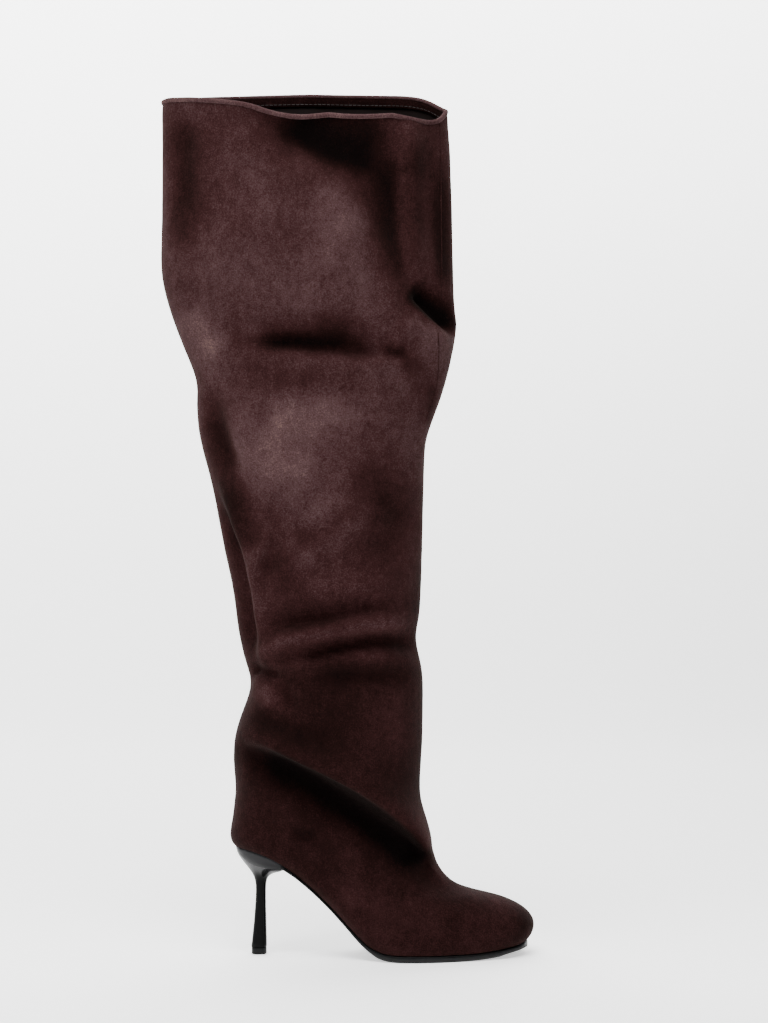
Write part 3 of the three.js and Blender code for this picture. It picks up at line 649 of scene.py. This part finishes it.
def wall_direction(places, outline):
    """The way out at each point, level: square to the shaft's oval, and sideways on the foot."""
    # Each level's oval is that of the points within a band round it, and below the lowest it stays the same
    shaft_start, lowest, band = 170, 182, 9
    levels = np.arange(150, 650, 10)
    shaft = outline[outline[:, 2] > shaft_start]
    rows = []
    for level in levels:
        near = shaft[np.abs(shaft[:, 2] - max(level, lowest)) < band]
        rows.append((near[:, 0].min(), near[:, 0].max(), np.abs(near[:, 1]).max()))
    back, front, half = np.array(rows).T
    z = places[:, 2]
    low, high = np.interp(z, levels, back), np.interp(z, levels, front)
    wide = np.interp(z, levels, half)
    lengthwise = (places[:, 0] - (low + high) / 2) / ((high - low) / 2) ** 2
    sideways = places[:, 1] / wide**2
    size = np.hypot(lengthwise, sideways) + 1e-9
    oval = np.column_stack([lengthwise / size, sideways / size])
    # On the foot the way out is to the side, and it dies out towards the middle plane
    foot_top, ankle, turn_width = 70, 125, 9
    flat = np.column_stack([np.zeros(len(z)), np.clip(places[:, 1] / turn_width, -1, 1)])
    blend = smooth_step(foot_top, ankle, z)[:, None]
    return flat * (1 - blend) + oval * blend


def wander(places, step, seed):
    """Slow unevenness, the same on both faces of the wall: a few crossed waves."""
    random = np.random.default_rng(seed)
    total = np.zeros(len(places))
    waves = 7
    for _ in range(waves):
        heading = random.normal(size=3)
        heading /= np.linalg.norm(heading)
        length = step * random.uniform(0.7, 1.6)
        total += np.sin(places @ heading * 2 * math.pi / length + random.uniform(0, 2 * math.pi))
    return total / waves


def merged_quads(node):
    """A copy of a CAD node's mesh with its doubles merged and its triangles paired."""
    widest = math.radians(60)
    mesh = bmesh.new()
    mesh.from_mesh(node.data)
    bmesh.ops.remove_doubles(mesh, verts=mesh.verts, dist=2e-6)
    bmesh.ops.join_triangles(
        mesh, faces=mesh.faces, angle_face_threshold=widest, angle_shape_threshold=widest
    )
    return mesh


def subdivided(mesh, name):
    """The bmesh as a mesh that has been through two levels of a subdivision surface."""
    data = bpy.data.meshes.new(name)
    mesh.to_mesh(data)
    mesh.free()
    holder = bpy.data.objects.new(name + "_holder", data)
    bpy.context.scene.collection.objects.link(holder)
    modifier = holder.modifiers.new("subdivision", "SUBSURF")
    modifier.levels = modifier.render_levels = 2
    modifier.boundary_smooth = "PRESERVE_CORNERS"
    ready = holder.evaluated_get(bpy.context.evaluated_depsgraph_get())
    finished = bpy.data.meshes.new_from_object(ready)
    finished.name = name
    bpy.data.objects.remove(holder)
    return finished


def mesh_places(data):
    """A mesh's points in millimetres."""
    flat = np.empty(len(data.vertices) * 3)
    data.vertices.foreach_get("co", flat)
    return flat.reshape(-1, 3) * TO_MM


def place_mesh(data, places):
    """Writes points in millimetres back to the mesh, and shades it smooth."""
    data.vertices.foreach_set("co", (places * MM).ravel())
    data.polygons.foreach_set("use_smooth", [True] * len(data.polygons))
    data.update()


def foot_height(places):
    """How far each point is above the feather edge."""
    return places[:, 2] - np.interp(places[:, 0], *zip(*FEATHER_EDGE))


def rim_height(shell, places):
    """The collar edge's height above each of places, from the shell's own points."""
    stations = np.arange(-74, 146, 6)
    lowest_edge, edge_band, off_middle, beside = 640, 600, 2, 7
    heights = []
    for side in (OUTER, INNER):
        top = shell[(shell[:, 2] > edge_band) & (side * shell[:, 1] > off_middle)]
        at = [top[np.abs(top[:, 0] - x) < beside, 2].max(initial=lowest_edge) for x in stations]
        heights.append(np.interp(places[:, 0], stations, at))
    return np.where(places[:, 1] < 0, heights[0], heights[1])


def rim_wave(places):
    """How far each point rises with the collar edge; it dies out 50 mm down the wall."""
    near = np.interp(places[:, 0], *zip(*NEAR_RIM_WAVE))
    far = np.interp(places[:, 0], *zip(*FAR_RIM_WAVE))
    middle, under_edge = (-6, 6), (590, 640)
    share = smooth_step(*middle, places[:, 1])
    return (near * (1 - share) + far * share) * smooth_step(*under_edge, places[:, 2])


def swelling(places, direction):
    """How far each point moves so that the outline is as wide as before the subdivision drew it in."""
    shift = np.zeros_like(places)
    # Heights and stations between which each swelling grows or dies out
    shaft_heights, foot_heights, edge_band = (120, 170), (60, 110), 16
    toe_front, toe_top = (120, 200), (125, 160)
    shaft = smooth_step(*shaft_heights, places[:, 2])
    shift[:, 0] = np.where(direction[:, 0] > 0, FRONT_SWELL, BACK_SWELL) * direction[:, 0] * shaft
    foot = (1 - smooth_step(*foot_heights, places[:, 2])) * smooth_step(0, edge_band, foot_height(places))
    shift[:, 0] += TOE_SWELL * smooth_step(*toe_front, places[:, 0]) * foot
    shift[:, 2] = TOE_SWELL * smooth_step(*toe_top, places[:, 0]) * foot
    return shift


def folded(places, shell):
    """The points after every fold, the slow unevenness and the sag. shell is the unfolded upper's points."""
    out = np.zeros(len(places))
    down = np.zeros(len(places))
    round_front = np.zeros(len(places))
    for fold in FOLDS:
        share = strength(places, fold)
        if fold.get("wraps"):
            front = smooth_step(*SHIN_FRONT, places[:, 0])
            round_front += share * fold["height"] * front
            out += share * fold["height"] * (1 - front)
        else:
            out += share * fold["height"]
        down += share * fold.get("drop", 0)
    up = rim_wave(places)
    slack = smooth_step(*SLACK_FROM, places[:, 2])
    for wave in UNEVENNESS:
        share = wave["on_foot"] + (1 - wave["on_foot"]) * slack
        out += wander(places, wave["step"], wave["seed"]) * wave["push"] * share
    # The foot's bottom edge stays on the sole, and the collar's stiff edge stays out
    free = smooth_step(0, FOOT_EDGE, foot_height(places))
    free = free * smooth_step(*COLLAR_EDGE, rim_height(shell, places) - places[:, 2])
    direction = wall_direction(places, shell)
    moved = places.copy()
    held = HELD_SHARE + (1 - HELD_SHARE) * smooth_step(*TURNING, np.abs(direction[:, 1]))
    moved[:, :2] += direction * ((out * held + round_front * WRAP_SHARE) * free)[:, None]
    moved[:, 2] += up - down * free
    return moved + swelling(places, direction)


def nap_and_painted_light_tone(places):
    """How pale the suede is at each point: by height, and by the listed marks, which are partly the nap's own
    and partly painted shade and highlights. Rolls are painted paler and hollows are painted darker.
    """
    heights, tones = zip(*SUEDE_TONE_BY_HEIGHT)
    tone = np.interp(places[:, 2], heights, tones)
    for mark in NAP_MARKS_AND_PAINTED_SHADING:
        tone = tone + strength(places, mark) * mark["tone"]
    for fold in FOLDS:
        share = np.clip(fold["height"] / FULL_PAINTED_SHADE_DEPTH, -1, ROLL_PAINTED_LIGHT_SHARE)
        tone = tone + strength(places, fold) * share * FOLD_PAINTED_SHADING
    return tone


def write_tone(data, tones):
    """Keeps the tone at each point, painted shade and light included, for the suede to read."""
    layer = data.attributes.new("nap_and_painted_light_tone", "FLOAT", "POINT")
    layer.data.foreach_set("value", tones.astype(np.float32))


def face_vectors(data, name):
    """One vector for each face of a mesh."""
    values = np.empty(len(data.polygons) * 3)
    data.polygons.foreach_get(name, values)
    return values.reshape(-1, 3)


def paint_inside(data, places):
    """Gives the faces that look into the hollow the second material. It is done before any folding."""
    centres = face_vectors(data, "center") * TO_MM
    normals = face_vectors(data, "normal")
    out_of_shaft = wall_direction(centres, places)
    axis = np.array(FOOT_AXIS, float)
    out_of_foot = np.zeros_like(centres)
    best = np.full(len(centres), np.inf)
    for start, end in zip(axis, axis[1:]):
        step = end - start
        share = np.clip((centres - start) @ step / (step @ step), 0, 1)
        away = centres - (start + share[:, None] * step)
        distance = np.linalg.norm(away, axis=1)
        near = distance < best
        best[near] = distance[near]
        out_of_foot[near] = away[near]
    ankle_height, turned_in = 200, -0.2
    in_shaft = np.einsum("ij,ij->i", normals[:, :2], out_of_shaft) < turned_in
    in_foot = np.einsum("ij,ij->i", normals, out_of_foot) < 0
    inside = np.where(centres[:, 2] > ankle_height, in_shaft, in_foot)
    data.polygons.foreach_set("material_index", inside.astype(np.int32))


def make_upper():
    """The suede upper: the CAD shell, subdivided and folded, suede outside and lined inside."""
    data = subdivided(merged_quads(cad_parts["upper"]), "suede_upper")
    places = mesh_places(data)
    write_tone(data, nap_and_painted_light_tone(places))
    upper = new_piece("suede_upper", data, SUEDE)
    data.materials.append(LINING)
    paint_inside(data, places)
    place_mesh(data, folded(places, places))
    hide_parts("upper")
    return upper, places


def make_facing(shell):
    """The strip of suede inside the collar, folded with the wall that carries it."""
    data = subdivided(merged_quads(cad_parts["collar_facing"]), "suede_facing")
    places = mesh_places(data)
    write_tone(data, np.full(len(places), FACING_TONE))
    place_mesh(data, folded(places, shell))
    facing = new_piece("suede_facing", data, SUEDE)
    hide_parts("collar_facing")
    return facing


def smooth_copy(node_name, piece_name, material, sharp_angle, lift=0.0, swell=0.0, tuck=None):
    """A smooth copy of a moulded CAD piece that keeps its sharp edges and corners.

    Its top rises by lift and its skin by swell, which makes up for what the subdivision rounds off.
    tuck is the shift of its rear end. All are in millimetres.
    """
    # A corner's turn in degrees, the rise of a normal on top, and the depths of the underside and rear end
    corner_angle, faces_up, underside, rear_depth = 25, 0.3, 1.0, 1.5
    mesh = merged_quads(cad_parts[node_name])
    edge_crease = mesh.edges.layers.float.new("crease_edge")
    corner_crease = mesh.verts.layers.float.new("crease_vert")
    for edge in mesh.edges:
        if len(edge.link_faces) == 2 and edge.calc_face_angle(0) > math.radians(sharp_angle):
            edge[edge_crease] = 1.0
    for vert in mesh.verts:
        creased = [edge for edge in vert.link_edges if edge[edge_crease]]
        ways = [(edge.other_vert(vert).co - vert.co).normalized() for edge in creased]
        if len(ways) == 2 and ways[0].angle(-ways[1]) > math.radians(corner_angle):
            vert[corner_crease] = 1.0
        if vert.normal.z > faces_up:
            vert.co.z += lift * MM
        elif vert.co.z > underside * MM:
            vert.co += vert.normal * swell * MM
    if tuck is not None:
        rear = min(vert.co.x for vert in mesh.verts) + rear_depth * MM
        for vert in mesh.verts:
            if vert.co.x < rear:
                vert.co += Vector(tuck) * MM
    data = subdivided(mesh, piece_name)
    place_mesh(data, mesh_places(data))
    piece = new_piece(piece_name, data, material)
    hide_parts(node_name)
    return piece


def tubes(name, lines, radius, material, closed=False, tone=0.3):
    """One piece of thin round strips, each along a line of points in millimetres. Only suede reads tone."""
    curve = bpy.data.curves.new(name, "CURVE")
    curve.dimensions = "3D"
    curve.bevel_depth = radius * MM
    curve.bevel_resolution = 2
    curve.use_fill_caps = True
    for line in lines:
        spline = curve.splines.new("POLY")
        spline.points.add(len(line) - 1)
        for point, place in zip(spline.points, line):
            point.co = (*(Vector(place) * MM), 1)
        spline.use_cyclic_u = closed
    holder = bpy.data.objects.new(name + "_holder", curve)
    bpy.context.scene.collection.objects.link(holder)
    ready = holder.evaluated_get(bpy.context.evaluated_depsgraph_get())
    data = bpy.data.meshes.new_from_object(ready)
    data.name = name
    bpy.data.objects.remove(holder)
    data.polygons.foreach_set("use_smooth", [True] * len(data.polygons))
    write_tone(data, np.full(len(data.vertices), tone))
    return new_piece(name, data, material)


def stitches(line, length, pitch):
    """Short straight lines along a closed line of points, one for each stitch."""
    ring = np.vstack([line, line[:1]])
    before = np.concatenate([[0], np.cumsum(np.linalg.norm(np.diff(ring, axis=0), axis=1))])
    count = int(before[-1] // pitch)
    found = []
    for k in range(count):
        ends = [k * pitch, k * pitch + length / 2, k * pitch + length]
        found.append(np.column_stack([np.interp(ends, before, ring[:, axis]) for axis in range(3)]))
    return found


# The collar's oval, in millimetres: its middle along the boot, half its length and half its depth
COLLAR_MIDDLE, COLLAR_HALF_LENGTH, COLLAR_HALF_DEPTH = 34, 107, 38


def ring_of(places, lowest):
    """The highest points all the way round the collar (or the lowest ones), in millimetres."""
    # So many places round the oval, each looked for within this many radians
    count, slice_half = 120, 0.06
    turn = np.arctan2(places[:, 1] / COLLAR_HALF_DEPTH, (places[:, 0] - COLLAR_MIDDLE) / COLLAR_HALF_LENGTH)
    points = []
    for k in range(count):
        angle = 2 * math.pi * k / count
        away = np.abs((turn - angle + math.pi) % (2 * math.pi) - math.pi)
        near = places[away < slice_half]
        points.append(near[near[:, 2].argmin() if lowest else near[:, 2].argmax()])
    points = np.array(points)
    for _ in range(2):
        points = (np.roll(points, 1, 0) + points * 2 + np.roll(points, -1, 0)) / 4
    return points


def cast_on(tree, starts, ways, depth):
    """Where rays meet a surface, and this deep under it, in millimetres; rays that miss are left out."""
    points = []
    for start, way in zip(starts, ways):
        hit, normal, _, _ = tree.ray_cast(start, way)
        if hit is not None:
            points.append((hit - normal * depth * MM) * TO_MM)
    return points


upper, shell_places = make_upper()
facing = make_facing(shell_places)
smooth_copy("heel", "lacquered_heel", HEEL, 50, lift=0.7, swell=0.4)
# The sole reaches into the joint at the heel's rounded front, up the slope of the seat
SOLE_TUCK = (-4.0, 0.0, 1.9)
smooth_copy("outsole", "rubber_outsole", SOLE, 40, tuck=SOLE_TUCK)
smooth_copy("top_piece", "heel_top_piece", TOP_PIECE, 40)
smooth_copy("insole", "sock_lining", SOCK, 50)

# The collar's edge is turned over into a soft roll, whose middle lies just below the wall's edge.
# No part of that edge is below COLLAR_FROM
# The roll is painted paler than the wall beside it, a painted highlight along the lit collar edge
ROLL_RADIUS, ROLL_DEPTH, ROLL_HIGHLIGHT_TONE = 1.9, 0.6, 0.42
COLLAR_FROM = 612
upper_places = mesh_places(upper.data)
rim = ring_of(upper_places[upper_places[:, 2] > COLLAR_FROM], lowest=False)
rim[:, 2] -= ROLL_DEPTH
tubes("turned_collar_edge", [rim], ROLL_RADIUS, SUEDE, closed=True, tone=ROLL_HIGHLIGHT_TONE)

# The facing is stitched down above its lower edge, on the side that faces into the boot
STITCH_LENGTH, STITCH_PITCH, THREAD_RADIUS = 2.4, 3.4, 0.22
STITCH_HEIGHT, STITCH_OUT = 2, 0.5
facing_edge = ring_of(mesh_places(facing.data), lowest=True)
facing_edge[:, 2] += STITCH_HEIGHT
inwards = np.array([COLLAR_MIDDLE, 0.0]) - facing_edge[:, :2]
inwards /= np.linalg.norm(inwards, axis=1)[:, None]
facing_edge[:, :2] += inwards * STITCH_OUT
facing_lines = stitches(facing_edge, STITCH_LENGTH, STITCH_PITCH)
tubes("facing_stitches", facing_lines, THREAD_RADIUS, THREAD)

# Seams that show on the outer side, drawn as the camera sees them against the middle plane.
# Each is a thin round strip, whose middle lies this deep under the suede's surface
SEAM_RADIUS, FRONT_SEAM_DEPTH, BACK_SEAM_DEPTH, SEAM_TONE = 0.5, 0.15, 0.35, -0.1
FRONT_SEAM = [(136.6, 632), (137.6, 600), (138, 560), (138.4, 520), (138, 497)]
FRONT_SEAM_LOWER = [(135.6, 470), (136.4, 454), (135, 430), (130, 414), (125.6, 402)]
surface = BVHTree.FromObject(upper, bpy.context.evaluated_depsgraph_get())
seams = []
for line in (FRONT_SEAM, FRONT_SEAM_LOWER):
    aims = [(Vector((x * MM, 0, z * MM)) - CAMERA_PLACE).normalized() for x, z in rounded_line(line)]
    seams.append(cast_on(surface, [CAMERA_PLACE] * len(aims), aims, FRONT_SEAM_DEPTH))
# The back seam runs from the heel to the collar in the middle plane, and is looked for from behind
BACK_SEAM_HEIGHTS = np.arange(96, 646, 5)
FAR_BEHIND = -300
starts = [Vector((FAR_BEHIND, 0, z)) * MM for z in BACK_SEAM_HEIGHTS]
seams.append(cast_on(surface, starts, [Vector((1, 0, 0))] * len(starts), BACK_SEAM_DEPTH))
tubes("shaft_seams", seams, SEAM_RADIUS, SUEDE, tone=SEAM_TONE)
